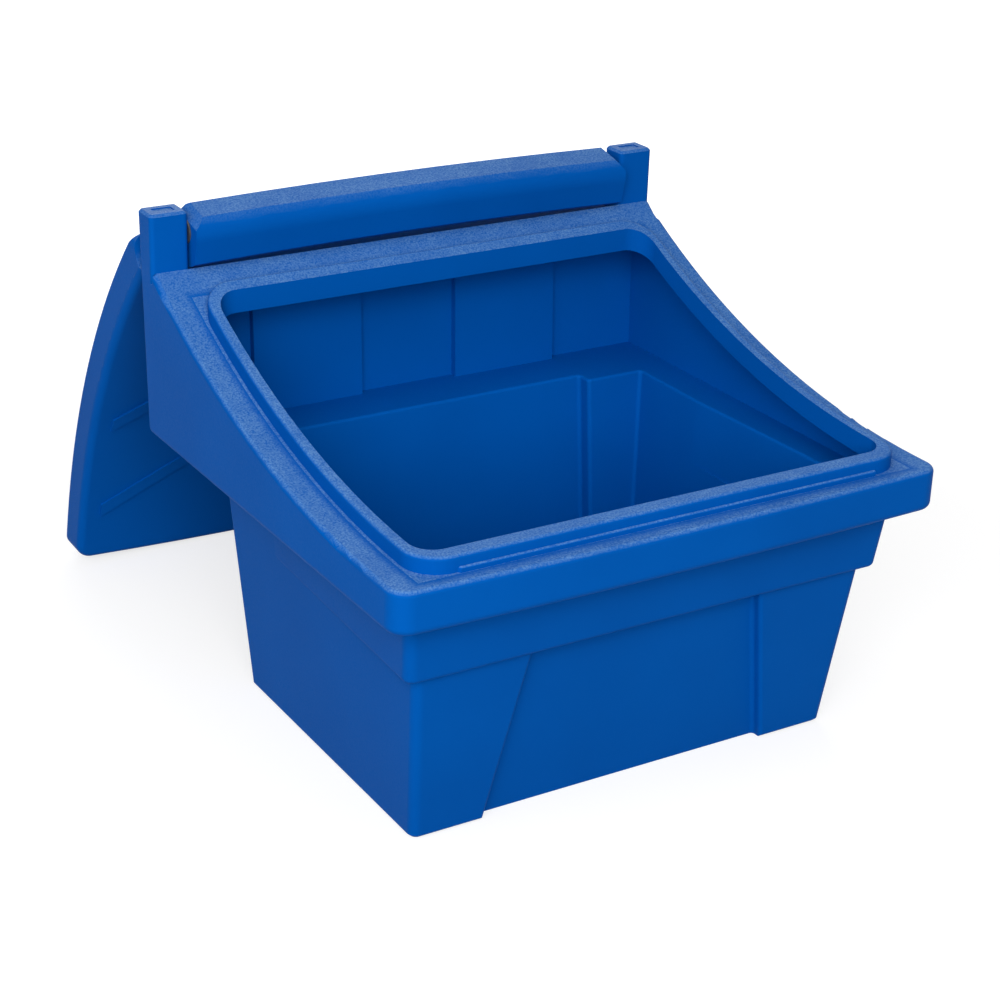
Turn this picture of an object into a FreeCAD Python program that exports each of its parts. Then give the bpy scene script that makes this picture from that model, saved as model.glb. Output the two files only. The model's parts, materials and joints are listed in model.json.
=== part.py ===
import FreeCAD, Part
import os
import Sketcher

# Grit salt bin: a hollow moulded tub with a curved rim and a lid on a hinge roll between two posts.
# X runs across the width, the front is -Y, Z is up, and the origin is the middle of the base.

DIMENSIONS = {
    # tub
    "wall": 5.0,
    "base_width": 448.0,
    "base_front": 164.2,
    "base_rear": 157.0,
    "side_draft": 4.04,
    "front_draft": 7.09,
    "rear_draft": 5.74,
    "tub_corner_radius": 9.0,
    "base_edge_chamfer": 3.0,
    "ledge_edge_radius": 3.0,
    # sunk panel of the front wall and raised panel of the rear wall
    "front_panel_depth": 11.5,
    "front_panel_base_width": 304.0,
    "front_panel_top_width": 239.0,
    "rear_panel_rise": 17.0,
    "rear_panel_width": 352.0,
    "panel_edge_radius": 4.0,
    # shoulder band under the lip
    "band_bottom": 170.5,
    "band_step": 8.3,
    "band_side_step": 12.0,
    "band_corner_radius": 10.0,
    "band_tail": 119.0,
    "band_sink": 2.0,
    "band_edge_radius": 5.0,
    # lip, the wide upper box
    "lip_underside": 236.0,
    "lip_overhang": 56.0,
    "lip_front": 229.4,
    "lip_rear": 260.0,
    "lip_rear_draft": 2.7,
    "lip_bow": 5.5,
    "lip_front_radius": 19.0,
    "lip_rear_radius": 4.0,
    "lip_low_edge_radius": 7.0,
    "lip_top_edge_radius": 5.0,
    # two recesses in the rear wall of the lip
    "rear_pad_inner": 59.0,
    "rear_pad_outer": 167.0,
    "rear_pad_depth": 8.0,
    "rear_pad_top": 366.0,
    # curved rim
    "rim_height": 276.3,
    "rim_flat": 29.0,
    "rim_radius": 840.0,
    # upstanding bead round the mouth
    "bead_height": 15.0,
    "bead_side_width": 10.0,
    "bead_front_width": 15.9,
    "bead_rear_width": 14.5,
    "bead_edge_radius": 3.5,
    "bead_root_radius": 2.0,
    "mouth_width": 480.0,
    "mouth_front": 198.2,
    "mouth_rear": 193.3,
    "mouth_corner_radius": 22.0,
    "foot_strip_length": 450.0,
    "foot_strip_width": 2.5,
    "foot_strip_height": 5.0,
    # hinge posts
    "post_width": 38.3,
    "post_depth": 29.9,
    "post_rise": 181.0,
    "post_top_chamfer": 2.5,
    "post_edge_radius": 4.5,
    "post_recess_width": 20.0,
    "post_recess_depth": 12.0,
    "post_recess_sink": 1.2,
    # hinge line
    "hinge_back": 252.0,
    "hinge_drop": 22.3,
    "trough_drop": 44.0,
    "pin_radius": 6.0,
    "pin_head_radius": 9.5,
    "pin_head_thickness": 4.0,
    "pin_chamfer": 1.5,
    "pin_fit": 0.1,
    "bore_fit": 0.06,
    "pin_engagement": 18.0,
    "socket_depth": 20.0,
    "ring_radius": 11.0,
    "ring_thickness": 1.0,
    "ring_slot_width": 2.0,
    "ring_slot_reach": 8.5,
    "washer_radius": 12.0,
    "washer_clearance": 0.4,
    # lid
    "lid_inset": 2.5,
    "lid_ground_gap": 0.8,
    "lid_front": 221.8,
    "lid_bow": 8.0,
    "lid_rear": 235.8,
    "lid_front_radius": 17.0,
    "lid_rear_radius": 16.0,
    "lid_height": 37.0,
    "lid_gap": 2.0,
    "lid_front_draft": 11.0,
    "lid_top_edge_radius": 8.0,
    "chevron_rise": 2.5,
    "chevron_width": 16.0,
    "chevron_half_span": 256.0,
    "chevron_slope": 0.545,
    "chevron_low_apex": 20.0,
    "chevron_high_apex": 100.0,
    # hinge roll of the lid
    "roll_radius": 25.0,
    "roll_flat": 20.5,
    "roll_skirt_drop": 18.0,
    "roll_gap": 2.0,
    "roll_bow": 4.0,
    "brow_radius": 34.0,
    "brow_reach": 31.6,
    "roll_end_chamfer": 9.0,
    "web_spacing": 38.0,
    "relief_radius": 41.0,
    "relief_forward": 7.5,
    "relief_raise": 5.5,
}

PLACES = {
    "lip_width": "=dims.base_width + 2 * dims.lip_overhang",
    "ledge": "=dims.lip_underside + dims.wall",
    "post_height": "=dims.rim_height + dims.post_rise",
    "hinge_height": "=post_height - dims.hinge_drop",
    "post_rear": "=dims.lip_rear + (post_height - dims.lip_underside) * tan(dims.lip_rear_draft)",
    "post_rear_foot": "=dims.lip_rear + (post_foot - dims.lip_underside) * tan(dims.lip_rear_draft)",
    "rim_flat_end": "=dims.lip_front - dims.rim_flat",
    "post_front": "=post_rear - dims.post_depth",
    "post_inner": "=lip_width / 2 - dims.post_width",
    "trough": "=hinge_height - dims.trough_drop",
    "trough_front": "=post_front",
    "post_foot": "=trough - 60",
    "above_all": "=post_height + 60",
    "before_all": "=dims.lip_front + dims.lip_bow + 40",
    "behind_all": "=post_rear + 40",
    "mouth_half": "=dims.mouth_width / 2",
    "bead_half": "=dims.mouth_width / 2 + dims.bead_side_width",
    "bead_front": "=dims.mouth_front + dims.bead_front_width",
    "bead_rear": "=dims.mouth_rear + dims.bead_rear_width",
    "bead_corner": "=dims.mouth_corner_radius + dims.bead_side_width",
    "bead_radius": "=dims.rim_radius - dims.bead_height",
    "bead_low": "=dims.rim_height + dims.bead_height",
    "strip_half": "=dims.foot_strip_length / 2",
    "strip_half_front": "=dims.foot_strip_length / 2 - 12",
    "strip_front": "=bead_front + dims.foot_strip_width",
    "strip_top": "=dims.rim_height + dims.foot_strip_height",
    "lid_edge_low": "=dims.rim_height + dims.lid_gap",
    "lid_edge_radius": "=dims.rim_radius - dims.lid_gap",
    "chevron_low": "=dims.rim_height + dims.lid_height + dims.chevron_rise",
    "chevron_radius": "=dims.rim_radius - dims.lid_height - dims.chevron_rise",
    "chevron_low_end": "=-dims.chevron_low_apex - dims.chevron_half_span * dims.chevron_slope",
    "chevron_high_end": "=dims.chevron_high_apex - dims.chevron_half_span * dims.chevron_slope",
    "chevron_low_mid": "=-dims.chevron_low_apex",
    "chevron_high_mid": "=dims.chevron_high_apex",
    "chevron_low_end_rear": "=chevron_low_end + dims.chevron_width",
    "chevron_high_end_rear": "=chevron_high_end + dims.chevron_width",
    "chevron_low_mid_rear": "=chevron_low_mid + dims.chevron_width",
    "chevron_high_mid_rear": "=chevron_high_mid + dims.chevron_width",
    "cover_low_outside": "=lid_edge_low",
    "cover_low_hollow": "=ledge",
    "relief_back": "=dims.hinge_back - dims.relief_forward",
    "relief_height": "=hinge_height + dims.relief_raise",
    "roll_skirt": "=hinge_height - dims.roll_skirt_drop",
    "roll_cut_rear": "=roll_rear_outside - dims.roll_end_chamfer",
    "roll_cut_top": "=roll_rear_outside + dims.roll_bow",
    "roll_cut_shoulder": "=roll_half - dims.roll_end_chamfer - dims.roll_bow",
    "bow_radius": "=(roll_half^2 + dims.roll_bow^2) / (2 * dims.roll_bow)",
    "bow_axis": "=dims.hinge_back - bow_radius",
    "bow_angle": "=2 * asin(past_end / bow_axis_reach)",
    "bow_axis_reach": "=bow_radius - dims.brow_radius",
    "lid_reach": "=lip_width / 2 + 10",
    "relief_length": "=lid_reach - roll_half",
    "relief_start_hollow": "=roll_half - dims.wall",
    "bore_end": "=roll_half + 1",
    "socket_start": "=post_inner - 1",
    "socket_end": "=post_inner + dims.socket_depth",
    "pin_head_end": "=web_inner - dims.pin_head_thickness",
    "pin_shoulder": "=pin_tip - dims.pin_chamfer",
    "pin_nose": "=dims.pin_radius - dims.pin_chamfer",
    "ring_face": "=end_inner - dims.ring_thickness",
    "ring_slot_half": "=dims.ring_slot_width / 2",
    "washer_face": "=roll_half + washer_thickness",
    "lid_tip_reach":
        "=dims.hinge_back + dims.lid_front + dims.lid_bow - dims.lid_height * tan(dims.lid_front_draft)",
    "lid_tip_drop": "=hinge_height - dims.rim_height - dims.lid_height",
    "lid_tip_radius": "=sqrt(lid_tip_reach^2 + lid_tip_drop^2)",
    "lid_open_angle": "=180 deg - asin((hinge_height - dims.lid_ground_gap) / lid_tip_radius)"
                      " - atan(lid_tip_drop / lid_tip_reach)",
    "open_sin": "=sin(lid_open_angle)",
    "open_cos": "=cos(lid_open_angle)",
    "open_back": "=dims.hinge_back * (1 - open_cos) + hinge_height * open_sin",
    "open_height": "=hinge_height * (1 - open_cos) - dims.hinge_back * open_sin",
    "roll_half": "=post_inner - dims.roll_gap",
    "socket_radius": "=dims.pin_radius + dims.pin_fit",
    "bore_radius": "=dims.pin_radius + dims.bore_fit",
    "washer_thickness": "=dims.roll_gap - dims.washer_clearance",
    "web_outer": "=roll_half - dims.web_spacing",
    "web_inner": "=web_outer - dims.wall",
    "pin_tip": "=post_inner + dims.pin_engagement",
    "end_wall": "=dims.roll_end_chamfer + dims.wall / 2",
    "past_end": "=roll_half + dims.roll_end_chamfer",
    "end_inner": "=roll_half - end_wall",
}

for side, sign in (("left", "-"), ("right", "")):
    middle = f"{sign}(lip_width - dims.post_width) / 2"
    PLACES |= {
        f"post_recess_{side}_from": f"={middle} - dims.post_recess_width / 2",
        f"post_recess_{side}_to": f"={middle} + dims.post_recess_width / 2",
    }
PLACES |= {
    "post_recess_front": "=post_rear - dims.post_depth / 2 - dims.post_recess_depth / 2",
    "post_recess_back": "=post_rear - dims.post_depth / 2 + dims.post_recess_depth / 2",
}

# Depth of the strip along an outer rim in which an edge counts as the rim's own.
RIM_BAND = 15.0

# The same form is made twice, as the outside and as the hollow inside it, one wall further in.
INSETS = {"outside": "0", "hollow": "dims.wall"}

for kind, inset in INSETS.items():
    PLACES |= {
        f"tub_floor_{kind}": f"={inset}",
        f"tub_half_floor_{kind}": f"=dims.base_width / 2 + ({inset}) * (tan(dims.side_draft) - 1)",
        f"tub_half_ledge_{kind}": f"=dims.base_width / 2 + ledge * tan(dims.side_draft) - {inset}",
        f"tub_front_floor_{kind}": f"=dims.base_front + ({inset}) * (tan(dims.front_draft) - 1)",
        f"tub_front_ledge_{kind}": f"=dims.base_front + ledge * tan(dims.front_draft) - {inset}",
        f"tub_rear_floor_{kind}": f"=dims.base_rear + ({inset}) * (tan(dims.rear_draft) - 1)",
        f"tub_rear_ledge_{kind}": f"=dims.base_rear + ledge * tan(dims.rear_draft) - {inset}",
        f"tub_corner_{kind}": f"=dims.tub_corner_radius - {inset}",
        f"band_low_{kind}": f"=dims.band_bottom + {inset}",
        f"lip_half_{kind}": f"=lip_width / 2 - {inset}",
        f"lip_front_{kind}": f"=dims.lip_front - {inset}",
        f"lip_rear_{kind}": f"=dims.lip_rear - {inset}",
        f"lip_low_{kind}": f"=dims.lip_underside + {inset}",
        f"lip_front_corner_{kind}": f"=dims.lip_front_radius - {inset}",
        f"lip_bow_radius_{kind}": f"=(lip_half_{kind}^2 + dims.lip_bow^2) / (2 * dims.lip_bow)",
        f"rim_low_{kind}": f"=dims.rim_height - {inset}",
        f"rim_radius_{kind}": f"=dims.rim_radius + {inset}",
        f"trough_{kind}": f"=trough - {inset}",
        f"pad_inner_{kind}": f"=dims.rear_pad_inner - {inset}",
        f"pad_outer_{kind}": f"=dims.rear_pad_outer + {inset}",
        f"pad_face_{kind}": f"=dims.lip_rear - dims.rear_pad_depth - {inset}",
        f"pad_top_{kind}": f"=dims.rear_pad_top + {inset}",
        f"lid_half_{kind}": f"=lip_width / 2 - dims.lid_inset - {inset}",
        f"lid_front_{kind}": f"=dims.lid_front - {inset}",
        f"lid_rear_{kind}": f"=dims.lid_rear - {inset}",
        f"lid_bow_radius_{kind}": f"=(lid_half_{kind}^2 + dims.lid_bow^2) / (2 * dims.lid_bow)",
        f"lid_front_corner_{kind}": f"=dims.lid_front_radius - {inset}",
        f"lid_rear_corner_{kind}": f"=dims.lid_rear_radius - {inset}",
        f"lid_top_radius_{kind}": f"=dims.rim_radius - dims.lid_height + {inset}",
        f"lid_top_low_{kind}": f"=dims.rim_height + dims.lid_height - {inset}",
        f"cover_skirt_{kind}": f"=(lid_edge_low - cover_low_{kind}) * tan(dims.lid_front_draft)",
        f"cover_front_{kind}": f"=dims.lid_front - {inset} + cover_skirt_{kind}",
        f"roll_radius_{kind}": f"=dims.roll_radius - {inset}",
        f"roll_flat_{kind}": f"=dims.roll_flat - {inset}",
        f"relief_radius_{kind}": f"=dims.relief_radius + {inset}",
        f"roll_rear_{kind}": f"=dims.hinge_back + roll_flat_{kind}",
        f"roll_corner_{kind}": f"=hinge_height + sqrt(roll_radius_{kind}^2 - roll_flat_{kind}^2)",
        f"roll_corner_low_{kind}": f"=hinge_height - sqrt(roll_radius_{kind}^2 - roll_flat_{kind}^2)",
        f"roll_toe_{kind}": f"=dims.hinge_back + sqrt(roll_radius_{kind}^2 - dims.roll_skirt_drop^2)",
        f"roll_top_{kind}": f"=hinge_height + roll_radius_{kind}",
        f"brow_radius_{kind}": f"=dims.brow_radius - {inset}",
        f"brow_front_{kind}": f"=dims.hinge_back - dims.brow_reach + {inset}",
        f"brow_top_{kind}": f"=dims.hinge_back - sqrt(brow_radius_{kind}^2 - roll_radius_{kind}^2)",
        f"brow_low_{kind}":
            f"=hinge_height + sqrt(brow_radius_{kind}^2 - (dims.hinge_back - brow_front_{kind})^2)",
    }
    PLACES |= {
        f"band_half_low_{kind}":
            f"=dims.base_width / 2 + band_low_{kind} * tan(dims.side_draft) + dims.band_side_step - {inset}",
        f"band_tail_half_low_{kind}": f"=band_half_low_{kind} - dims.band_side_step - dims.band_sink",
        f"band_front_low_{kind}":
            f"=dims.base_front + band_low_{kind} * tan(dims.front_draft) + dims.band_step - {inset}",
        f"band_corner_{kind}": f"=dims.band_corner_radius - {inset}",
    }
    for level, height in (("low", f"tub_floor_{kind}"), ("top", f"band_low_{kind}")):
        PLACES |= {
            f"panel_wall_{level}_{kind}": f"=dims.base_front + {height} * tan(dims.front_draft)",
            f"panel_face_{level}_{kind}":
                f"=panel_wall_{level}_{kind} - dims.front_panel_depth - {inset}",
        }
    for level, height in (("low", f"tub_floor_{kind}"), ("top", "ledge")):
        PLACES |= {
            f"rear_wall_{level}_{kind}": f"=dims.base_rear + {height} * tan(dims.rear_draft)",
            f"rear_face_{level}_{kind}":
                f"=rear_wall_{level}_{kind} + dims.rear_panel_rise - {inset}",
        }
    PLACES |= {
        f"panel_half_low_{kind}": f"=dims.front_panel_base_width / 2 + {inset}",
        f"panel_half_top_{kind}": f"=dims.front_panel_top_width / 2 + {inset}",
        f"rear_half_{kind}": f"=dims.rear_panel_width / 2 - {inset}",
    }

# Curves of the rim, bead and lid seen from the side: height of the flat front part, radius, rear end.
CURVES = {
    "rim_cut_outside": ("rim_low_outside", "rim_radius_outside", "behind_all"),
    "rim_cut_hollow": ("rim_low_hollow", "rim_radius_hollow", "behind_all"),
    "bead_cut": ("bead_low", "bead_radius", "post_front"),
    "lid_cut_outside": ("lid_top_low_outside", "lid_top_radius_outside", "behind_all"),
    "lid_cut_hollow": ("lid_top_low_hollow", "lid_top_radius_hollow", "behind_all"),
    "chevron_cut": ("chevron_low", "chevron_radius", "behind_all"),
    "lid_edge": ("lid_edge_low", "lid_edge_radius", "behind_all"),
}

for name, (low, radius, end) in CURVES.items():
    PLACES[f"{name}_end"] = f"={low} + {radius} - sqrt({radius}^2 - ({end} + rim_flat_end)^2)"

doc = FreeCAD.newDocument("grit_salt_bin")


def make_sheet(name, cells):
    """Write one spreadsheet: names in column A, contents in column B under the same alias."""
    sheet = doc.addObject("Spreadsheet::Sheet", name)
    for row, (alias, content) in enumerate(cells.items(), start=1):
        sheet.set(f"A{row}", alias)
        sheet.set(f"B{row}", str(content))
        sheet.setAlias(f"B{row}", alias)
    return sheet


dims = make_sheet("dims", DIMENSIONS)
doc.recompute()
places = make_sheet("places", PLACES)
doc.recompute()
doc.recompute()


def bound(name):
    """The expression for a named size, with an optional minus sign in front."""
    alias = name.lstrip("-")
    sheet = "dims" if alias in DIMENSIONS else "places"
    return f"-{sheet}.{alias}" if name.startswith("-") else f"{sheet}.{alias}"


def number(name):
    """The value of a named size, with an optional minus sign in front."""
    if name == "0":
        return 0.0
    alias = name.lstrip("-")
    value = (dims if alias in DIMENSIONS else places).get(alias)
    value = float(getattr(value, "Value", value))
    return -value if name.startswith("-") else value


def point(corner):
    return FreeCAD.Vector(number(corner[0]), number(corner[1]), 0)


def new_body(name):
    return doc.addObject("PartDesign::Body", name)


def new_sketch(body, name, role, offset=None):
    """A sketch on one of the body's own origin planes, moved along its normal by a named offset."""
    sketch = body.newObject("Sketcher::SketchObject", name)
    plane = next(item for item in body.Origin.OriginFeatures if item.Role == role)
    sketch.AttachmentSupport = [(plane, "")]
    sketch.MapMode = "FlatFace"
    if offset:
        sketch.setExpression("AttachmentOffset.Base.z", bound(offset))
    return sketch


def hold(sketch, side, end, corner):
    """Fix one end of a side at a named corner."""
    for kind, name in zip(("DistanceX", "DistanceY"), corner):
        constraint = sketch.addConstraint(Sketcher.Constraint(kind, -1, 1, side, end, number(name)))
        if name != "0":
            sketch.setExpression(f"Constraints[{constraint}]", bound(name))


def arc_through(start, finish, radius, bulge):
    """An arc of a given radius that swells to the right (+1) or left (-1) of its chord."""
    chord = finish - start
    half = chord.Length / 2
    sagitta = radius - (radius ** 2 - half ** 2) ** 0.5
    right = FreeCAD.Vector(chord.y, -chord.x, 0).normalize()
    return Part.Arc(start, (start + finish) / 2 + right * (sagitta * bulge), finish)


def outline(sketch, corners, arcs=None):
    """A closed loop through named corners; arcs gives a side its radius name and bulge."""
    arcs = arcs or {}
    ends = []
    for number_of_side, start in enumerate(corners):
        finish = corners[(number_of_side + 1) % len(corners)]
        if number_of_side in arcs:
            radius, bulge = arcs[number_of_side]
            curve = arc_through(point(start), point(finish), number(radius), bulge)
            side = sketch.addGeometry(curve, False)
            constraint = sketch.addConstraint(Sketcher.Constraint("Radius", side, number(radius)))
            sketch.setExpression(f"Constraints[{constraint}]", bound(radius))
            ends.append((side, 1, 2) if bulge > 0 else (side, 2, 1))
        else:
            side = sketch.addGeometry(Part.LineSegment(point(start), point(finish)), False)
            ends.append((side, 1, 2))
    for number_of_side, (side, first, last) in enumerate(ends):
        after, after_first, after_last = ends[(number_of_side + 1) % len(ends)]
        sketch.addConstraint(Sketcher.Constraint("Coincident", side, last, after, after_first))
        hold(sketch, side, first, corners[number_of_side])


def block(left, right, front, rear):
    """Corners of a rectangle, in plan, counterclockwise from the front left."""
    return [(left, front), (right, front), (right, rear), (left, rear)]


def edges_of(feature, test):
    """Names of the feature's edges that pass the test."""
    found = [f"Edge{i + 1}" for i, edge in enumerate(feature.Shape.Edges) if test(edge)]
    if not found:
        raise ValueError(f"no edge found on {feature.Name}")
    return found


def faces_of(feature, test):
    """Names of the feature's faces that pass the test."""
    found = [f"Face{i + 1}" for i, face in enumerate(feature.Shape.Faces) if test(face)]
    if not found:
        raise ValueError(f"no face found on {feature.Name}")
    return found


def upright(edge):
    """A straight edge that stands, or nearly stands."""
    if len(edge.Vertexes) < 2:
        return False
    way = edge.Vertexes[1].Point - edge.Vertexes[0].Point
    straight = edge.Length < way.Length * 1.0001
    return straight and abs(way.z) > 0.9 * way.Length


def ease(body, name, kind, size, test):
    """Fillet or chamfer the chosen edges of the body's last feature by a named size."""
    doc.recompute()
    base = body.Tip
    feature = body.newObject(f"PartDesign::{kind}", name)
    feature.Base = (base, edges_of(base, test))
    feature.setExpression("Radius" if kind == "Fillet" else "Size", bound(size))
    doc.recompute()
    return feature


def round_edges(body, name, radius, test):
    return ease(body, name, "Fillet", radius, test)


def chamfer_edges(body, name, size, test):
    return ease(body, name, "Chamfer", size, test)


def wedge(body, name, kind, low, high):
    """A block with sloping faces between two levels, added or cut away.

    Each level is (height, half width, front, rear) with the front and rear as distances from the origin
    towards -Y and +Y.
    """
    before = body.Tip.Shape.Volume if body.Tip else 0
    feature = body.newObject(f"PartDesign::{kind}Wedge", name)
    feature.Placement.Rotation = FreeCAD.Rotation(FreeCAD.Vector(1, 0, 0), 90)
    levels = ((low, "Ymin", ""), (high, "Ymax", "2"))
    for (height, half, front, rear), y_name, mark in levels:
        feature.setExpression(y_name, bound(height))
        feature.setExpression(f"X{mark}min", bound(f"-{half}"))
        feature.setExpression(f"X{mark}max", bound(half))
        feature.setExpression(f"Z{mark}min", bound(opposite(rear)))
        feature.setExpression(f"Z{mark}max", bound(front))
    doc.recompute()
    if kind == "Subtractive" and feature.Shape.Volume > before - 1:
        raise ValueError(f"{name} cuts nothing")
    return feature


def opposite(name):
    return name[1:] if name.startswith("-") else f"-{name}"


def draft(body, name, angle, faces, neutral, inwards=False):
    """Lean the chosen faces by a named angle, hinged where they meet the neutral face."""
    doc.recompute()
    base = body.Tip
    feature = body.newObject("PartDesign::Draft", name)
    feature.Base = (base, faces_of(base, faces))
    feature.NeutralPlane = (base, faces_of(base, neutral))
    feature.setExpression("Angle", bound(angle))
    doc.recompute()
    if (feature.Shape.Volume < base.Shape.Volume) != inwards:
        feature.Reversed = True
        doc.recompute()
    return feature


def pad(body, name, sketch, length, middle=False):
    """Extrude upwards, or to both sides, by an expression."""
    feature = body.newObject("PartDesign::Pad", name)
    feature.Profile = sketch
    if middle:
        feature.SideType = "Symmetric"
    feature.setExpression("Length", length)
    doc.recompute()
    return feature


def pocket(body, name, sketch, length=None, middle=False, reverse=False):
    """Cut by an expression's length, or right through to both sides, and check that it cut."""
    before = body.Tip.Shape.Volume
    feature = body.newObject("PartDesign::Pocket", name)
    feature.Profile = sketch
    feature.Reversed = reverse
    if middle:
        feature.SideType = "Symmetric"
    if length:
        feature.setExpression("Length", length)
    else:
        feature.Type = "ThroughAll"
    doc.recompute()
    if feature.Shape.Volume > before - 1:
        raise ValueError(f"{name} cuts nothing")
    return feature


def tub_form(kind):
    """Drafted tub with a raised panel along its rear wall and a sunk panel in its front wall."""
    body = new_body(f"tub_{kind}")
    floor, ledge = [
        (height, f"tub_half_{level}_{kind}", f"tub_front_{level}_{kind}", f"tub_rear_{level}_{kind}")
        for level, height in (("floor", f"tub_floor_{kind}"), ("ledge", "ledge"))
    ]
    wedge(body, f"tub_walls_{kind}", "Additive", floor, ledge)
    round_edges(body, f"tub_corners_{kind}", f"tub_corner_{kind}", upright)
    low, top = [
        (height, f"rear_half_{kind}", f"tub_front_floor_{kind}", f"rear_face_{level}_{kind}")
        for level, height in (("low", f"tub_floor_{kind}"), ("top", "ledge"))
    ]
    wedge(body, f"rear_panel_{kind}", "Additive", low, top)
    panel = number(f"rear_half_{kind}") + 1
    round_edges(body, f"rear_panel_roots_{kind}", "panel_edge_radius",
                lambda edge: on_panel(edge, panel) and on_wall(edge, kind))
    round_edges(body, f"rear_panel_edges_{kind}", "panel_edge_radius",
                lambda edge: on_panel(edge, panel) and not on_wall(edge, kind))
    if kind == "outside":
        chamfer_edges(body, "base_edges", "base_edge_chamfer", lambda edge: edge.BoundBox.ZMax < 0.1)
    low, top = [
        (height, f"panel_half_{level}_{kind}", "before_all", f"-panel_face_{level}_{kind}")
        for level, height in (("low", f"tub_floor_{kind}"), ("top", f"band_low_{kind}"))
    ]
    wedge(body, f"front_panel_{kind}", "Subtractive", low, top)
    hollow_panel = number(f"panel_half_low_{kind}") + 1
    round_edges(body, f"front_panel_roots_{kind}", "panel_edge_radius",
                lambda edge: edge.CenterOfMass.y < 0 and on_panel(edge, hollow_panel)
                and not on_wall(edge, kind))
    round_edges(body, f"front_panel_edges_{kind}", "panel_edge_radius",
                lambda edge: edge.CenterOfMass.y < 0 and on_panel(edge, hollow_panel)
                and on_wall(edge, kind))
    return body


def on_panel(edge, reach):
    """Whether an upright edge belongs to a panel, by its distance from the middle of the wall."""
    return upright(edge) and abs(edge.CenterOfMass.x) < reach


def on_wall(edge, kind):
    """Whether the middle of an edge lies on the tub's front or rear wall."""
    middle = edge.CenterOfMass
    wall = "front" if middle.y < 0 else "rear"
    low = number(f"tub_{wall}_floor_{kind}")
    high = number(f"tub_{wall}_ledge_{kind}")
    floor = number(f"tub_floor_{kind}")
    share = (middle.z - floor) / (number("ledge") - floor)
    return abs(abs(middle.y) - low - (high - low) * share) < 1


def band_form(kind):
    """Shoulder band: a step outwards at the front that fades away along the sides."""
    body = new_body(f"band_{kind}")
    plan = new_sketch(body, f"band_plan_{kind}_sketch", "XY_Plane", f"band_low_{kind}")
    half = f"band_half_low_{kind}"
    tail = f"band_tail_half_low_{kind}"
    front = f"-band_front_low_{kind}"
    outline(plan, [(f"-{half}", front), (half, front), (tail, "band_tail"), (f"-{tail}", "band_tail")])
    pad(body, f"band_block_{kind}", plan, f"places.ledge - places.band_low_{kind}")
    low = number(f"band_low_{kind}")
    foremost = -number(f"band_front_low_{kind}")
    draft(body, f"band_front_{kind}", "front_draft",
          lambda face: face.BoundBox.YMax < foremost + 1, lambda face: face.BoundBox.ZMax < low + 0.1)
    draft(body, f"band_sides_{kind}", "side_draft",
          lambda face: face.BoundBox.YLength > 100 and face.BoundBox.ZLength > 10,
          lambda face: face.BoundBox.ZMax < low + 0.1)
    round_edges(body, f"band_corners_{kind}", f"band_corner_{kind}",
                lambda edge: upright(edge) and edge.CenterOfMass.y < 0)
    if kind == "outside":
        tail_line = number("band_tail") - 1
        round_edges(body, "band_edges", "band_edge_radius",
                    lambda edge: edge.BoundBox.ZMax < low + 0.1 and edge.BoundBox.YMin < tail_line)
    return body


def lip_plan(body, kind):
    """Plan of the lip, with its front bowed outwards."""
    sketch = new_sketch(body, f"lip_plan_{kind}_sketch", "XY_Plane", f"lip_low_{kind}")
    half = f"lip_half_{kind}"
    outline(sketch, block(f"-{half}", half, f"-lip_front_{kind}", f"lip_rear_{kind}"),
            {0: (f"lip_bow_radius_{kind}", 1)})
    return sketch


def above_curve(body, name):
    """Side view of what is cleared above a curve: flat at the front, then rising to the rear."""
    low, radius, end = CURVES[name]
    sketch = new_sketch(body, name, "YZ_Plane")
    corners = [("-before_all", low), ("-rim_flat_end", low), (end, f"{name}_end"),
               (end, "above_all"), ("-before_all", "above_all")]
    outline(sketch, corners, {1: (radius, 1)})
    return sketch


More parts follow.
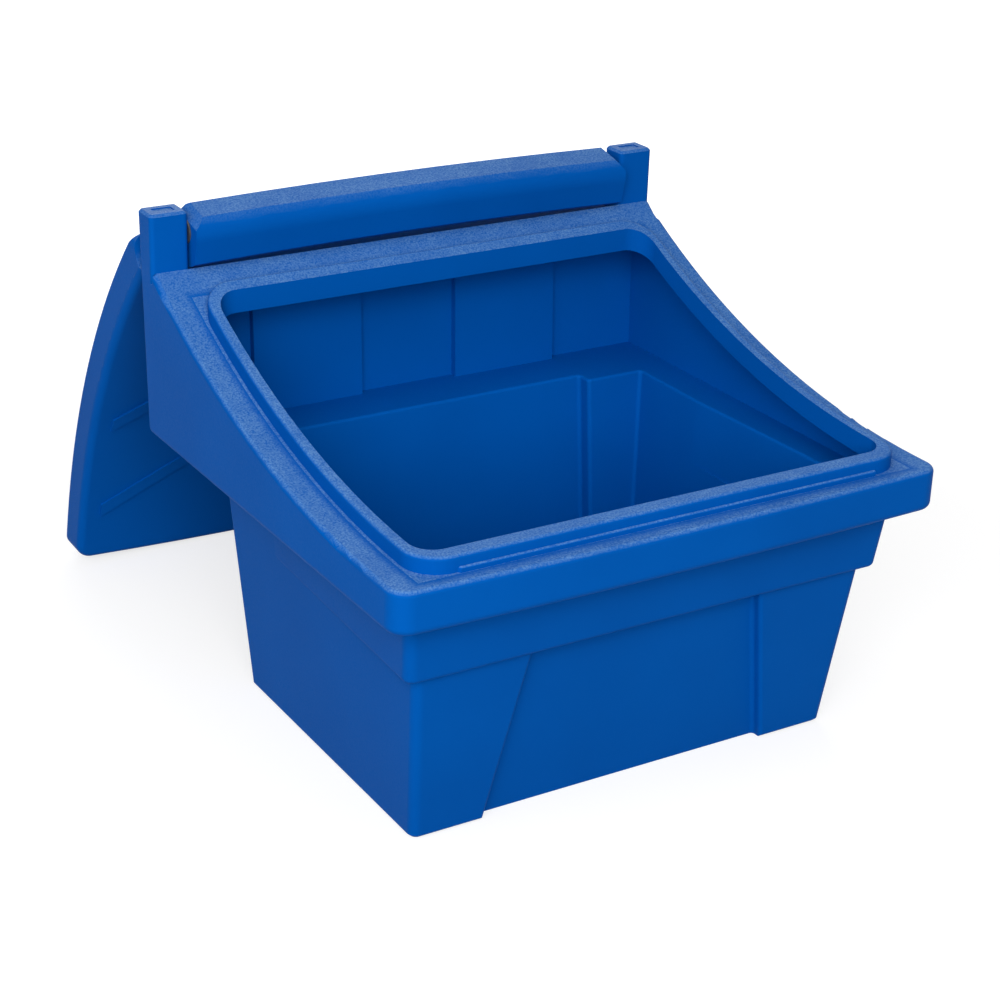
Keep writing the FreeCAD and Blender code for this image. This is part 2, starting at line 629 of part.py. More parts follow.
def lip_form(kind):
    """Wide lip: bowed front, curved rim on top and two recesses in the leaning rear wall."""
    body = new_body(f"lip_{kind}")
    plan = lip_plan(body, kind)
    pad(body, f"lip_block_{kind}", plan, f"places.above_all - places.lip_low_{kind}")
    pads = new_sketch(body, f"rear_pads_{kind}_sketch", "XY_Plane", f"lip_low_{kind}")
    for side in ("", "-"):
        left, right = (f"pad_inner_{kind}", f"pad_outer_{kind}")
        if side:
            left, right = f"-{right}", f"-{left}"
        outline(pads, block(left, right, f"pad_face_{kind}", "behind_all"))
    pocket(body, f"rear_pads_{kind}", pads, f"places.pad_top_{kind} - places.lip_low_{kind}", reverse=True)
    low = number(f"lip_low_{kind}")
    rearmost = number(f"pad_face_{kind}") - 1
    draft(body, f"lip_rear_{kind}", "lip_rear_draft",
          lambda face: face.BoundBox.YMin > rearmost and face.BoundBox.YLength < 0.1,
          lambda face: face.BoundBox.ZMax < low + 0.1)
    round_edges(body, f"lip_front_corners_{kind}", f"lip_front_corner_{kind}",
                lambda edge: upright(edge) and edge.CenterOfMass.y < 0)
    if kind == "outside":
        behind = number("lip_rear") - 1
        half = number("lip_half_outside") - 1
        round_edges(body, "lip_rear_corners", "lip_rear_radius",
                    lambda edge: upright(edge) and edge.CenterOfMass.y > behind
                    and abs(edge.CenterOfMass.x) > half)
    pocket(body, f"rim_curve_{kind}", above_curve(body, f"rim_cut_{kind}"), middle=True)
    trough = new_sketch(body, f"trough_{kind}_sketch", "YZ_Plane")
    start = "trough_front" if kind == "outside" else "-before_all"
    outline(trough, block(start, "behind_all", f"trough_{kind}", "above_all"))
    pocket(body, f"trough_cut_{kind}", trough, middle=True)
    if kind == "outside":
        rim = number("rim_height") - 1
        reach = number("lip_rear") - 1
        side = number("lip_half_outside") - 1
        front = -number("lip_front") + RIM_BAND
        round_edges(body, "lip_top_edges", "lip_top_edge_radius",
                    lambda edge: edge.BoundBox.ZMin > rim and edge.BoundBox.YMax < reach and not upright(edge)
                    and (abs(edge.CenterOfMass.x) > side - RIM_BAND or edge.CenterOfMass.y < front))
        low = number("lip_underside") + 0.1
        round_edges(body, "lip_low_edges", "lip_low_edge_radius",
                    lambda edge: edge.BoundBox.ZMax < low
                    and (abs(edge.CenterOfMass.x) > side or edge.CenterOfMass.y < front))
    return body


def mouth_edge(body, name, low, height, half, front, rear, corner):
    """An upright block with rounded corners that follows the mouth."""
    plan = new_sketch(body, f"{name}_sketch", "XY_Plane", low)
    outline(plan, block(f"-{half}", half, f"-{front}", rear))
    pad(body, f"{name}_block", plan, height)
    round_edges(body, f"{name}_corners", corner, upright)


def bead_form():
    """Raised bead round the mouth, with a low step along the foot of its front wall."""
    body = new_body("bead")
    mouth_edge(body, "bead", "ledge", "places.above_all - places.ledge",
               "bead_half", "bead_front", "bead_rear", "bead_corner")
    pocket(body, "bead_curve", above_curve(body, "bead_cut"), middle=True)
    top = number("bead_low") - 0.5
    round_edges(body, "bead_edges", "bead_edge_radius",
                lambda edge: edge.BoundBox.ZMin > top)
    return body


def strip_form():
    """Low step in front of the bead, tapered to its ends."""
    body = new_body("foot_strip")
    plan = new_sketch(body, "foot_strip_sketch", "XY_Plane", "ledge")
    outline(plan, [("-strip_half_front", "-strip_front"), ("strip_half_front", "-strip_front"),
                   ("strip_half", "-mouth_front"), ("-strip_half", "-mouth_front")])
    pad(body, "foot_strip_block", plan, "places.strip_top - places.ledge")
    top = number("strip_top") - 0.1
    front = -number("strip_front") + 0.5
    round_edges(body, "foot_strip_edges", "bead_root_radius",
                lambda edge: edge.BoundBox.ZMin > top and edge.BoundBox.YMin < front)
    return body


def mouth_form():
    """Mouth, cut down into the hollow of the lip."""
    body = new_body("mouth")
    mouth_edge(body, "mouth", "ledge", "places.above_all - places.ledge",
               "mouth_half", "mouth_front", "mouth_rear", "mouth_corner_radius")
    return body


def post_form(side):
    """Hinge post at the left or right end of the rim, with a shallow recess in its top."""
    sign = "-" if side == "left" else ""
    body = new_body(f"post_{side}")
    plan = new_sketch(body, f"post_{side}_sketch", "XY_Plane", "post_foot")
    ends = [f"{sign}lip_half_outside", f"{sign}post_inner"]
    left, right = sorted(ends, key=number)
    outline(plan, block(left, right, "post_front", "post_rear_foot"))
    pad(body, f"post_{side}_block", plan, "places.post_height - places.post_foot")
    foot = number("post_foot")
    rear = number("post_rear_foot")
    draft(body, f"post_{side}_rear", "lip_rear_draft",
          lambda face: face.BoundBox.YMin > rear - 0.1, lambda face: face.BoundBox.ZMax < foot + 0.1)
    outer = abs(number(ends[0])) - 0.1
    round_edges(body, f"post_{side}_rear_corner", "lip_rear_radius",
                lambda edge: upright(edge) and abs(edge.CenterOfMass.x) > outer
                and edge.CenterOfMass.y > rear - 0.1)
    inner = abs(number(ends[1])) + 0.1
    round_edges(body, f"post_{side}_corners", "post_edge_radius",
                lambda edge: upright(edge) and (edge.CenterOfMass.y < number("post_front") + 0.1
                                                or abs(edge.CenterOfMass.x) < inner))
    top = number("post_height") - 0.1
    chamfer_edges(body, f"post_{side}_top", "post_top_chamfer", lambda edge: edge.BoundBox.ZMin > top)
    recess = new_sketch(body, f"post_{side}_recess_sketch", "XY_Plane", "post_height")
    outline(recess, block(f"post_recess_{side}_from", f"post_recess_{side}_to",
                          "post_recess_front", "post_recess_back"))
    pocket(body, f"post_{side}_recess", recess, "dims.post_recess_sink")
    return body


def below_curve(body, name, floor):
    """Side view of what is cleared below a curve, down to a named height."""
    low, radius, end = CURVES[name]
    sketch = new_sketch(body, name, "YZ_Plane")
    corners = [("-before_all", floor), (end, floor), (end, f"{name}_end"),
               ("-rim_flat_end", low), ("-before_all", low)]
    outline(sketch, corners, {2: (radius, -1)})
    return sketch


def lid_plan(body, kind):
    """Plan of the lid's cover, bowed at the front and ending at the posts."""
    plan = new_sketch(body, f"lid_plan_{kind}_sketch", "XY_Plane", f"cover_low_{kind}")
    half = f"lid_half_{kind}"
    outline(plan, block(f"-{half}", half, f"-cover_front_{kind}", f"lid_rear_{kind}"),
            {0: (f"lid_bow_radius_{kind}", 1)})
    return plan


def cover_form(kind):
    """Curved cover of the lid: skirt, top that follows the rim and, outside, two chevrons."""
    body = new_body(f"cover_{kind}")
    pad(body, f"cover_block_{kind}", lid_plan(body, kind), f"places.above_all - places.cover_low_{kind}")
    foremost = -number(f"cover_front_{kind}") + 1
    low = number(f"cover_low_{kind}")
    rear = number(f"lid_rear_{kind}")
    draft(body, f"cover_front_{kind}", "lid_front_draft",
          lambda face: face.BoundBox.YMax < foremost,
          lambda face: face.BoundBox.ZMax < low + 0.1, inwards=True)
    round_edges(body, f"cover_front_corners_{kind}", f"lid_front_corner_{kind}",
                lambda edge: upright(edge) and edge.CenterOfMass.y < 0)
    round_edges(body, f"cover_rear_corners_{kind}", f"lid_rear_corner_{kind}",
                lambda edge: upright(edge) and edge.CenterOfMass.y > rear - 1)
    pocket(body, f"cover_top_{kind}", above_curve(body, f"lid_cut_{kind}"), middle=True)
    if kind == "outside":
        top = number("lid_top_low_outside") - 0.5
        round_edges(body, "cover_top_edges", "lid_top_edge_radius",
                    lambda edge: edge.BoundBox.ZMin > top and edge.CenterOfMass.y < rear - 2 * RIM_BAND
                    and not upright(edge) and on_rim(edge))
        plan = new_sketch(body, "chevron_sketch", "XY_Plane", "rim_height")
        for level in ("low", "high"):
            start = f"chevron_{level}"
            outline(plan, [("-chevron_half_span", f"{start}_end"), ("0", f"{start}_mid"),
                           ("chevron_half_span", f"{start}_end"), ("chevron_half_span", f"{start}_end_rear"),
                           ("0", f"{start}_mid_rear"), ("-chevron_half_span", f"{start}_end_rear")])
        pad(body, "chevrons", plan, "places.above_all - dims.rim_height")
        pocket(body, "chevron_tops", above_curve(body, "chevron_cut"), middle=True)
        pocket(body, "cover_underside", below_curve(body, "lid_edge", "lip_underside"), middle=True)
    return body


def on_rim(edge):
    """Whether the middle of an edge lies at the outer rim of the cover, not across it."""
    middle = edge.CenterOfMass
    side = abs(middle.x) > number("lid_half_outside") - RIM_BAND
    front = middle.y < -number("lid_front_outside") + RIM_BAND
    return side or front


def turned(body, name, corners):
    """Revolve a profile, given as places along X and radii, about the hinge line."""
    sketch = new_sketch(body, f"{name}_sketch", "XZ_Plane")
    sketch.setExpression("AttachmentOffset.Base.y", bound("hinge_height"))
    sketch.setExpression("AttachmentOffset.Base.z", bound("-hinge_back"))
    outline(sketch, corners)
    feature = body.newObject("PartDesign::Revolution", name)
    feature.Profile = sketch
    feature.ReferenceAxis = (sketch, ["H_Axis"])
    feature.Angle = 360
    doc.recompute()
    return feature


def bowed(body, name, sketch):
    """Sweep the roll's section along a shallow bow that swells to the rear in the middle."""
    sketch.setExpression("AttachmentOffset.Base.x", bound("roll_bow"))
    axis = sketch.addGeometry(Part.LineSegment(point(("bow_axis", "roll_skirt")),
                                               point(("bow_axis", "above_all"))), True)
    hold(sketch, axis, 1, ("bow_axis", "roll_skirt"))
    hold(sketch, axis, 2, ("bow_axis", "above_all"))
    feature = body.newObject("PartDesign::Revolution", name)
    feature.Profile = sketch
    feature.ReferenceAxis = (sketch, ["Axis0"])
    feature.Midplane = True
    feature.setExpression("Angle", bound("bow_angle"))
    doc.recompute()
    return feature


def roll_outside():
    """Hinge roll of the lid: a flat at the rear, a brow at the front and an open underside."""
    body = new_body("roll_outside")
    section = new_sketch(body, "roll_section", "YZ_Plane")
    outline(section, [
        ("roll_toe_outside", "roll_skirt"), ("roll_rear_outside", "roll_corner_low_outside"),
        ("roll_rear_outside", "roll_corner_outside"), ("hinge_back", "roll_top_outside"),
        ("brow_top_outside", "roll_top_outside"), ("brow_front_outside", "brow_low_outside"),
        ("brow_front_outside", "roll_skirt"),
    ], {0: ("roll_radius_outside", 1), 2: ("roll_radius_outside", 1), 4: ("brow_radius_outside", 1)})
    bowed(body, "roll_bar", section)
    ends = new_sketch(body, "roll_end_sketch", "XY_Plane", "lip_underside")
    for sign in (-1, 1):
        cut_off = [("roll_half", "0"), ("lid_reach", "0"), ("lid_reach", "behind_all"),
                   ("roll_cut_shoulder", "behind_all"), ("roll_cut_shoulder", "roll_cut_top"),
                   ("roll_half", "roll_cut_rear")]
        outline(ends, mirrored(cut_off, sign))
    pocket(body, "roll_ends", ends, reverse=True)
    return body


def roll_hollow():
    """Channel inside the hinge roll, open downwards, with two webs that carry the pins."""
    body = new_body("roll_hollow")
    section = new_sketch(body, "roll_hollow_section", "YZ_Plane")
    outline(section, [
        ("roll_toe_hollow", "lip_underside"), ("roll_toe_hollow", "roll_skirt"),
        ("roll_rear_hollow", "roll_corner_low_hollow"), ("roll_rear_hollow", "roll_corner_hollow"),
        ("hinge_back", "roll_top_hollow"), ("brow_top_hollow", "roll_top_hollow"),
        ("brow_front_hollow", "brow_low_hollow"), ("brow_front_hollow", "lip_underside"),
    ], {1: ("roll_radius_hollow", 1), 3: ("roll_radius_hollow", 1), 5: ("brow_radius_hollow", 1)})
    bowed(body, "roll_channel", section)
    solid = new_sketch(body, "web_sketch", "XY_Plane", "lip_underside")
    for sign in (-1, 1):
        outline(solid, mirrored(block("web_inner", "web_outer", "0", "behind_all"), sign))
        outline(solid, mirrored(block("end_inner", "lid_reach", "0", "behind_all"), sign))
    pocket(body, "webs_and_ends", solid, reverse=True)
    return body


def cylinder(name, radius, start, length):
    """A cylinder along the hinge line from a named place on X, with a length expression."""
    body = doc.addObject("Part::Cylinder", name)
    body.Placement.Rotation = FreeCAD.Rotation(FreeCAD.Vector(0, 1, 0), 90)
    body.setExpression("Radius", bound(radius))
    body.setExpression("Height", length)
    body.setExpression("Placement.Base.x", bound(start))
    body.setExpression("Placement.Base.y", bound("hinge_back"))
    body.setExpression("Placement.Base.z", bound("hinge_height"))
    return body


def fused(name, shapes):
    result = doc.addObject("Part::MultiFuse", name)
    result.Shapes = shapes
    result.Refine = True
    return result


def cut(name, base, tool):
    result = doc.addObject("Part::Cut", name)
    result.Base = base
    result.Tool = tool
    result.Refine = True
    return result


def make_bin_body():
    """One moulding: everything outside, less the hollow inside, the mouth and the pin sockets."""
    outside = fused("bin_outside", [
        tub_form("outside"), band_form("outside"), lip_form("outside"), bead_form(), strip_form(),
        post_form("left"), post_form("right")])
    hollow = fused("bin_hollow", [tub_form("hollow"), band_form("hollow"), lip_form("hollow")])
    doc.recompute()
    eased = new_body("bin_hollow_eased")
    eased.BaseFeature = hollow
    ledge = number("ledge")
    rim = number("lip_half_hollow") - RIM_BAND
    front = number("lip_front_hollow") - RIM_BAND
    rear = number("pad_face_hollow") - RIM_BAND
    round_edges(eased, "ledge_edges", "ledge_edge_radius",
                lambda edge: edge.BoundBox.ZMin > ledge - 0.1 and edge.BoundBox.ZMax < ledge + 0.1
                and abs(edge.CenterOfMass.x) < rim and -front < edge.CenterOfMass.y < rear)
    sockets = [
        cylinder("socket_left", "socket_radius", "-socket_end", "dims.socket_depth + 1"),
        cylinder("socket_right", "socket_radius", "socket_start", "dims.socket_depth + 1"),
    ]
    body = cut("bin_body", outside, fused("bin_cuts", [eased, mouth_form()] + sockets))
    body.Label = "bin_body"
    return body


def make_lid():
    """One moulding, modelled shut and then turned about the hinge line to hang open."""
    reliefs = []
    for side, start in (("left", "-lid_reach"), ("right", "roll_half")):
        reliefs.append(relief(f"relief_{side}", "relief_radius_outside", start, "places.relief_length"))
    cover = cut("cover_relieved", cover_form("outside"), fused("reliefs", reliefs))
    walls = []
    length = "places.relief_length + dims.wall"
    for side, start in (("left", "-lid_reach"), ("right", "relief_start_hollow")):
        walls.append(relief(f"relief_wall_{side}", "relief_radius_hollow", start, length))
    hollow = cut("cover_hollow_relieved", cover_form("hollow"), fused("relief_walls", walls))
    bore = cylinder("pin_bore", "bore_radius", "-bore_end", "2 * places.bore_end")
    lid = cut("lid", fused("lid_outside", [cover, roll_outside()]),
              fused("lid_hollow", [hollow, roll_hollow(), bore]))
    lid.Label = "lid"
    lid.setExpression("Placement.Rotation.Axis.x", "1")
    lid.setExpression("Placement.Rotation.Axis.y", "0")
    lid.setExpression("Placement.Rotation.Axis.z", "0")
    lid.setExpression("Placement.Rotation.Angle", "places.lid_open_angle")
    lid.setExpression("Placement.Base.y", "places.open_back")
    lid.setExpression("Placement.Base.z", "places.open_height")
    return lid


def relief(name, radius, start, length):
    """Rounded relief that lets a wing of the lid swing past its post."""
    body = cylinder(name, radius, start, length)
    body.setExpression("Placement.Base.y", bound("relief_back"))
    body.setExpression("Placement.Base.z", bound("relief_height"))
    return body


def mirrored(corners, sign):
    """The same corners on the left (-1) or the right (1) of the bin."""
    return [(opposite(along) if sign < 0 else along, across) for along, across in corners]


def make_pin(side, sign):
    """Headed steel pin, from the web of the roll through its end into the post."""
    body = new_body(f"hinge_pin_{side}")
    turned(body, f"hinge_pin_{side}_turning", mirrored([
        ("pin_head_end", "0"), ("pin_tip", "0"), ("pin_tip", "pin_nose"), ("pin_shoulder", "pin_radius"),
        ("web_inner", "pin_radius"), ("web_inner", "pin_head_radius"), ("pin_head_end", "pin_head_radius"),
    ], sign))
    body.Label = f"hinge_pin_{side}"
    return body


def make_ring(side, sign):
    """Push-on ring with inner teeth, against the inner face of the roll's end."""
    body = new_body(f"retaining_ring_{side}")
    turned(body, f"retaining_ring_{side}_turning", mirrored([
        ("ring_face", "bore_radius"), ("end_inner", "bore_radius"), ("end_inner", "ring_radius"),
        ("ring_face", "ring_radius"),
    ], sign))
    slot = new_sketch(body, f"retaining_ring_{side}_slot_sketch", "YZ_Plane")
    slot.setExpression("AttachmentOffset.Base.x", bound("hinge_back"))
    slot.setExpression("AttachmentOffset.Base.y", bound("hinge_height"))
    outline(slot, block("-ring_slot_half", "ring_slot_half", "0", "ring_slot_reach"))
    cut_slot = pocket(body, f"retaining_ring_{side}_slot", slot, middle=True)
    pattern = body.newObject("PartDesign::PolarPattern", f"retaining_ring_{side}_teeth")
    pattern.Originals = [cut_slot]
    pattern.Axis = (slot, ["N_Axis"])
    pattern.Angle = 360
    pattern.Occurrences = 6
    body.Tip = pattern
    body.Label = f"retaining_ring_{side}"
    return body


def make_washer(side, sign):
    """Plastic spacer between the end of the roll and the post."""
    body = new_body(f"spacer_washer_{side}")
    turned(body, f"spacer_washer_{side}_turning", mirrored([
        ("roll_half", "bore_radius"), ("washer_face", "bore_radius"), ("washer_face", "washer_radius"),
        ("roll_half", "washer_radius"),
    ], sign))
    body.Label = f"spacer_washer_{side}"
    return body


pieces = [make_bin_body(), make_lid()]
for side, sign in (("left", -1), ("right", 1)):
    pieces += [make_pin(side, sign), make_ring(side, sign), make_washer(side, sign)]
doc.recompute()

for item in doc.Objects:
    if "Invalid" in item.State or "Error" in item.State:
        raise ValueError(f"{item.Name} failed: {item.State}")
for piece in pieces:
    if piece.Shape.isNull() or not piece.Shape.isValid() or not piece.Shape.Solids:
        raise ValueError(f"{piece.Label} has no sound shape")

os.makedirs("parts", exist_ok=True)
for piece in pieces:
    piece.Shape.exportStep(f"parts/{piece.Label}.step")
    box = piece.Shape.BoundBox
    print(piece.Label, len(piece.Shape.Solids), round(piece.Shape.Volume), box)
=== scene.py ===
import json
import math

import bpy
from mathutils import Matrix, Vector

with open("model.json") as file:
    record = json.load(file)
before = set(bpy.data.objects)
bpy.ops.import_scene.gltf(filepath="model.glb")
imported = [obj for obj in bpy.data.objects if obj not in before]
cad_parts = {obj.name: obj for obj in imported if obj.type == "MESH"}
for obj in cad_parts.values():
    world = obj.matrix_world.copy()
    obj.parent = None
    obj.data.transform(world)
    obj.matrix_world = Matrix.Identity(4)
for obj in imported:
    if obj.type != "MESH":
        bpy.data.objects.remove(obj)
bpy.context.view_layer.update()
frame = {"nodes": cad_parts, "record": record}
nodes = frame["nodes"]

scene = bpy.context.scene
scene.view_settings.view_transform = "Standard"

WHITE = (1.0, 1.0, 1.0, 1.0)

# Most values of a noise texture lie between these two.
NOISE_RANGE = (0.3, 0.7)
NOISE_INNER_RANGE = (0.35, 0.65)


# Node helpers

# The Mix node names its sockets alike for every data type, so its colour sockets go by number.
MIX_FIRST = 6
MIX_SECOND = 7
MIX_RESULT = 2


class Tree:
    """A node tree under construction, with short calls for the nodes that the materials share."""

    def __init__(self, tree):
        self.tree = tree
        tree.nodes.clear()

    def add(self, kind, values=None, **settings):
        """Add a node. A value that is a socket is linked, and any other is set."""
        node = self.tree.nodes.new(kind)
        for name, value in settings.items():
            setattr(node, name, value)
        for name, value in (values or {}).items():
            if isinstance(value, bpy.types.NodeSocket):
                self.tree.links.new(value, node.inputs[name])
            else:
                node.inputs[name].default_value = value
        return node

    def place(self):
        """Object coordinates in metres."""
        return self.add("ShaderNodeTexCoord").outputs["Object"]

    def axes(self, vector):
        """The X, Y and Z of a vector, by name."""
        return self.add("ShaderNodeSeparateXYZ", {"Vector": vector}).outputs

    def facing(self):
        """The direction a face looks in: Z is 1 for a level face, 0 for a wall, negative underneath."""
        return self.axes(self.add("ShaderNodeTexCoord").outputs["Normal"])

    def noise(self, vector, scale, detail=2.0, roughness=0.5):
        """Noise with about scale features in a metre."""
        node = self.add("ShaderNodeTexNoise", {
            "Vector": vector, "Scale": scale, "Detail": detail, "Roughness": roughness})
        return node.outputs["Fac"]

    def spread(self, value, source, target=(0.0, 1.0)):
        """Map a value from the source range to the target range, held at the ends."""
        node = self.add("ShaderNodeMapRange", {
            "Value": value,
            "From Min": source[0], "From Max": source[1],
            "To Min": target[0], "To Max": target[1]})
        return node.outputs["Result"]

    def math(self, operation, first, second=0.0):
        return self.add("ShaderNodeMath", {0: first, 1: second}, operation=operation).outputs[0]

    def blend(self, share, first, second):
        """The first colour at a share of 0, the second at a share of 1."""
        values = {"Factor": share, MIX_FIRST: first, MIX_SECOND: second}
        return self.add("ShaderNodeMix", values, data_type="RGBA").outputs[MIX_RESULT]

    def bump(self, height, strength, distance, normal=None):
        values = {"Height": height, "Strength": strength, "Distance": distance}
        if normal is not None:
            values["Normal"] = normal
        return self.add("ShaderNodeBump", values).outputs["Normal"]

    def seen(self):
        """1 for rays from the camera, in reflections and through glass, 0 for rays that light things."""
        path = self.add("ShaderNodeLightPath").outputs
        direct = self.math("MAXIMUM", path["Is Camera Ray"], path["Is Glossy Ray"])
        return self.math("MAXIMUM", direct, path["Is Transmission Ray"])

    def finish(self, shader):
        self.add("ShaderNodeOutputMaterial", {"Surface": shader})


def new_material(name):
    material = bpy.data.materials.new(name)
    material.use_nodes = True
    return material, Tree(material.node_tree)


def principled(tree, **values):
    """A Principled shader, its sockets named with underscores for spaces."""
    named = {key.replace("_", " "): value for key, value in values.items()}
    return tree.add("ShaderNodeBsdfPrincipled", named).outputs["BSDF"]


# Moulded plastic

WALL_DARK = (0.0, 0.075, 0.345, 1.0)
WALL_LIGHT = (0.0, 0.083, 0.375, 1.0)
WALL_ROUGHNESS = (0.46, 0.60)
WALL_SPECULAR = 0.03
WALL_SPECULAR_TINT = (0.45, 0.8, 1.0, 1.0)
CLOUD_SCALE = 7.0

# Bumps: features in a metre, strength, and depth in metres.
GRAIN_SCALE, GRAIN_STRENGTH, GRAIN_DEPTH = 620.0, 0.12, 0.0005
PEEL_SCALE, PEEL_STRENGTH, PEEL_DEPTH = 140.0, 0.06, 0.0010

# The painted sheen: a pale colour that stands in for light off the grainy rim, in fine specks in wide,
# soft patches.
PAINTED_SHEEN = (0.19, 0.36, 0.58, 1.0)
SPECK_SCALE = 560.0
SPECK_RANGE = (0.36, 0.64)
SPECK_SHARE = (0.08, 0.46)
PATCH_SCALE = 28.0
PATCH_SHARE = (0.8, 1.1)

# Where the painted sheen starts and is full: by height in metres, and by how far a face looks up.
SHEEN_HEIGHT = (0.262, 0.272)
SHEEN_FACING_UP = (0.40, 0.90)

# Where it fades and is gone: by how far a face looks to the rear.
SHEEN_FACING_REAR = (0.05, 0.30)

# The bead's outline in metres, and the band at its foot in which the painted sheen comes back.
BEAD_HALF_WIDTH = 0.2500
BEAD_HALF_DEPTH = 0.2110
BEAD_MIDDLE_Y = -0.0032
ROOT_BAND = (0.0030, 0.0110)


def rim_painted_sheen(tree, place):
    """Share of painted sheen, a pale colour in grainy specks that stands in for light off the rim: on
    high faces that look up, but not in the band at the bead's foot or on the hollow side of the lid,
    which looks to the rear."""
    axes = tree.axes(place)
    facing = tree.facing()
    side = tree.math("SUBTRACT", tree.math("ABSOLUTE", axes["X"]), BEAD_HALF_WIDTH)
    along = tree.math("ABSOLUTE", tree.math("SUBTRACT", axes["Y"], BEAD_MIDDLE_Y))
    outside = tree.math("MAXIMUM", side, tree.math("SUBTRACT", along, BEAD_HALF_DEPTH))
    on_bead = tree.math("LESS_THAN", outside, ROOT_BAND[0])
    masks = (
        tree.spread(tree.noise(place, SPECK_SCALE, roughness=0.6), SPECK_RANGE, SPECK_SHARE),
        tree.spread(tree.noise(place, PATCH_SCALE), NOISE_INNER_RANGE, PATCH_SHARE),
        tree.math("MAXIMUM", on_bead, tree.spread(outside, ROOT_BAND)),
        tree.spread(axes["Z"], SHEEN_HEIGHT),
        tree.spread(facing["Y"], SHEEN_FACING_REAR, (1.0, 0.0)),
    )
    share = tree.spread(facing["Z"], SHEEN_FACING_UP)
    for mask in masks:
        share = tree.math("MULTIPLY", share, mask)
    return share


def moulded_plastic():
    """Royal blue polyethylene: smooth walls with a fine peel, and a painted pale sheen in grainy specks
    on top of the rim.
    """
    material, tree = new_material("moulded_plastic")
    place = tree.place()
    cloud = tree.noise(place, CLOUD_SCALE, detail=3.0)
    grain = tree.noise(place, GRAIN_SCALE, roughness=0.55)
    peel = tree.noise(place, PEEL_SCALE, detail=1.0)
    wall = tree.blend(tree.spread(cloud, NOISE_RANGE), WALL_DARK, WALL_LIGHT)
    normal = tree.bump(grain, GRAIN_STRENGTH, GRAIN_DEPTH)
    tree.finish(principled(
        tree,
        # Painted sheen: the pale colour on high faces that look up stands in for light reflected off the
        # rim.
        Base_Color=tree.blend(rim_painted_sheen(tree, place), wall, PAINTED_SHEEN),
        Roughness=tree.spread(grain, NOISE_RANGE, WALL_ROUGHNESS),
        Normal=tree.bump(peel, PEEL_STRENGTH, PEEL_DEPTH, normal),
        Specular_IOR_Level=WALL_SPECULAR,
        Specular_Tint=WALL_SPECULAR_TINT))
    return material


# Metal and nylon

ZINC_DARK = (0.54, 0.55, 0.58, 1.0)
ZINC_LIGHT = (0.66, 0.67, 0.69, 1.0)
ZINC_ROUGHNESS = (0.26, 0.42)
SPRING_DARK = (0.26, 0.26, 0.27, 1.0)
SPRING_LIGHT = (0.34, 0.34, 0.35, 1.0)
SPRING_ROUGHNESS = (0.32, 0.48)
STEEL_CLOUD_SCALE = 90.0

# The marks run round the axis, X, so they are much finer along it than across.
MARK_SCALE = (2400.0, 120.0, 120.0)
MARK_STRENGTH, MARK_DEPTH = 0.25, 0.0002

NYLON_DARK = (0.030, 0.031, 0.034, 1.0)
NYLON_LIGHT = (0.052, 0.053, 0.057, 1.0)
NYLON_ROUGHNESS = (0.42, 0.58)
MOTTLE_SCALE, MOTTLE_STRENGTH, MOTTLE_DEPTH = 260.0, 0.15, 0.0003


def steel(name, dark, light, roughness):
    """Turned or stamped steel with fine marks round its axis."""
    material, tree = new_material(name)
    place = tree.place()
    stretched = tree.add("ShaderNodeMapping", {"Vector": place, "Scale": MARK_SCALE}).outputs["Vector"]
    marks = tree.noise(stretched, 1.0)
    cloud = tree.noise(place, STEEL_CLOUD_SCALE, detail=3.0)
    tree.finish(principled(
        tree,
        Base_Color=tree.blend(tree.spread(cloud, NOISE_INNER_RANGE), dark, light),
        Metallic=1.0,
        Roughness=tree.spread(marks, NOISE_RANGE, roughness),
        Normal=tree.bump(marks, MARK_STRENGTH, MARK_DEPTH)))
    return material


def nylon():
    """Black moulded nylon, slightly mottled."""
    material, tree = new_material("washer_plastic")
    mottle = tree.noise(tree.place(), MOTTLE_SCALE, detail=3.0)
    tree.finish(principled(
        tree,
        Base_Color=tree.blend(tree.spread(mottle, NOISE_RANGE), NYLON_DARK, NYLON_LIGHT),
        Roughness=tree.spread(mottle, NOISE_RANGE, NYLON_ROUGHNESS),
        Normal=tree.bump(mottle, MOTTLE_STRENGTH, MOTTLE_DEPTH)))
    return material


MATERIALS = {
    "moulded_plastic": moulded_plastic(),
    "zinc_steel": steel("zinc_steel", ZINC_DARK, ZINC_LIGHT, ZINC_ROUGHNESS),
    "spring_steel": steel("spring_steel", SPRING_DARK, SPRING_LIGHT, SPRING_ROUGHNESS),
    "washer_plastic": nylon(),
}

for part in frame["record"]["subparts"]:
    node = nodes[part["node"]]
    node.data.materials.clear()
    node.data.materials.append(MATERIALS[part["material_slot"]])


# Floor and world

FLOOR_SIZE = 60.0
FLOOR_DROP = 0.0005
FLOOR_DARK = (0.36, 0.36, 0.36, 1.0)
FLOOR_LIGHT = (0.38, 0.38, 0.38, 1.0)
FLOOR_CLOUD_SCALE = 1.3

# The glow that makes the floor look white: this much near the object, where lamps light it too,
# and 1 where they don't reach. The distances are in metres from the origin.
FLOOR_GLOW = 0.70
FLOOR_GLOW_RANGE = (0.7, 2.0)

# Strength of the even light from all round.
SKY = 0.24


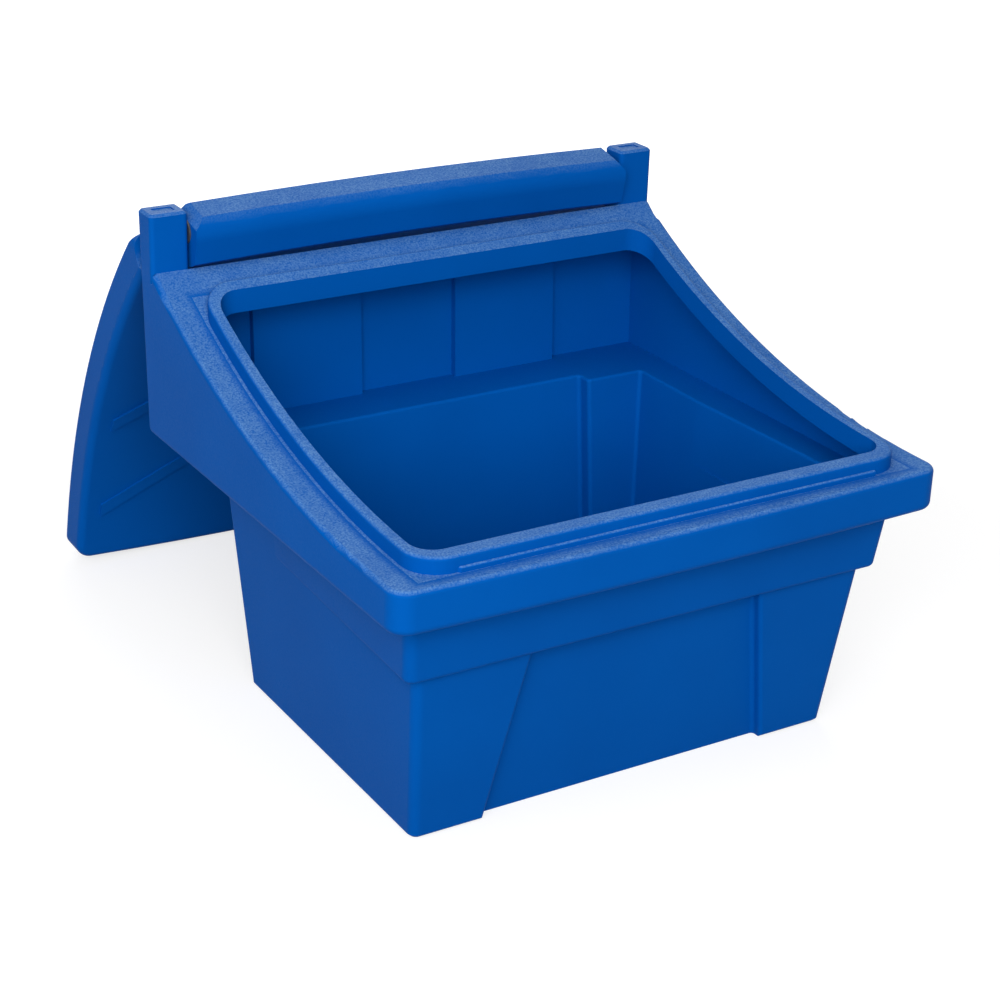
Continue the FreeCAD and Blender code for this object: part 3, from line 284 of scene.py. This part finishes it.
def floor_paint():
    """Pale floor that looks white, also in reflections, and still takes the object's shadow."""
    material, tree = new_material("pale_floor")
    place = tree.place()
    cloud = tree.noise(place, FLOOR_CLOUD_SCALE)
    colour = tree.blend(tree.spread(cloud, NOISE_RANGE), FLOOR_DARK, FLOOR_LIGHT)
    matt = tree.add("ShaderNodeBsdfDiffuse", {"Color": colour}).outputs["BSDF"]
    away = tree.add("ShaderNodeVectorMath", {0: place}, operation="LENGTH").outputs["Value"]
    strength = tree.spread(away, FLOOR_GLOW_RANGE, (FLOOR_GLOW, 1.0))
    glow = tree.add("ShaderNodeEmission", {"Color": WHITE, "Strength": strength}).outputs["Emission"]
    both = tree.add("ShaderNodeAddShader", {0: matt, 1: glow}).outputs["Shader"]
    mixed = tree.add("ShaderNodeMixShader", {0: tree.seen(), 1: matt, 2: both})
    tree.finish(mixed.outputs["Shader"])
    return material


def make_floor():
    half = FLOOR_SIZE / 2
    mesh = bpy.data.meshes.new("floor")
    corners = [(-half, -half, 0), (half, -half, 0), (half, half, 0), (-half, half, 0)]
    mesh.from_pydata(corners, [], [(0, 1, 2, 3)])
    floor = bpy.data.objects.new("floor", mesh)
    scene.collection.objects.link(floor)
    mesh.materials.append(floor_paint())
    floor.location.z = -FLOOR_DROP


def backdrop_world():
    """White to the camera and in reflections, and a soft even light on the object."""
    world = bpy.data.worlds.new("studio")
    world.use_nodes = True
    tree = Tree(world.node_tree)
    soft = tree.add("ShaderNodeBackground", {"Color": WHITE, "Strength": SKY}).outputs[0]
    white = tree.add("ShaderNodeBackground", {"Color": WHITE, "Strength": 1.0}).outputs[0]
    mixed = tree.add("ShaderNodeMixShader", {0: tree.seen(), 1: soft, 2: white})
    tree.add("ShaderNodeOutputWorld", {"Surface": mixed.outputs["Shader"]})
    scene.world = world


# Lamps and camera

# Each lamp's place and size in metres, and its power in watts. All aim at the same point.
LAMP_TARGET = Vector((0.0, 0.05, 0.25))
LAMPS = {
    "key": ((-1.4, -2.2, 1.6), (2.0, 1.6), 84.0),
    "left": ((-3.0, -0.6, 1.6), (2.4, 2.4), 26.0),
    "top": ((-0.3, -0.8, 3.2), (3.0, 2.4), 22.0),
    "back": ((0.9, 3.0, 1.6), (2.4, 2.0), 44.0),
}

CAMERA_PLACE = Vector((-1.0280, -1.5612, 1.0371))
CAMERA_TARGET = Vector((-0.0675, 0.0775, 0.2304))
CAMERA_ROLL = 1.25
CAMERA_LENS = 78.89
CAMERA_SENSOR = 36.0
CAMERA_SHIFT = (0.0652, -0.0352)


def look(place, target):
    """The rotation with which a lamp or camera at one place looks at another."""
    return (target - place).to_track_quat("-Z", "Y")


def area_light(name, place, size, power):
    light = bpy.data.lights.new(name, "AREA")
    light.shape = "RECTANGLE"
    light.size, light.size_y = size
    light.energy = power
    lamp = bpy.data.objects.new(name, light)
    lamp.location = place
    lamp.rotation_euler = look(Vector(place), LAMP_TARGET).to_euler()
    scene.collection.objects.link(lamp)


def make_camera():
    camera = bpy.data.cameras.new("camera")
    camera.lens = CAMERA_LENS
    camera.sensor_width = CAMERA_SENSOR
    camera.shift_x, camera.shift_y = CAMERA_SHIFT
    holder = bpy.data.objects.new("camera", camera)
    aim = look(CAMERA_PLACE, CAMERA_TARGET).to_matrix().to_4x4()
    roll = Matrix.Rotation(math.radians(CAMERA_ROLL), 4, "Z")
    holder.matrix_world = Matrix.Translation(CAMERA_PLACE) @ aim @ roll
    scene.collection.objects.link(holder)
    scene.camera = holder


backdrop_world()
make_floor()
for lamp_name, (lamp_place, lamp_size, lamp_power) in LAMPS.items():
    area_light(lamp_name, lamp_place, lamp_size, lamp_power)
make_camera()
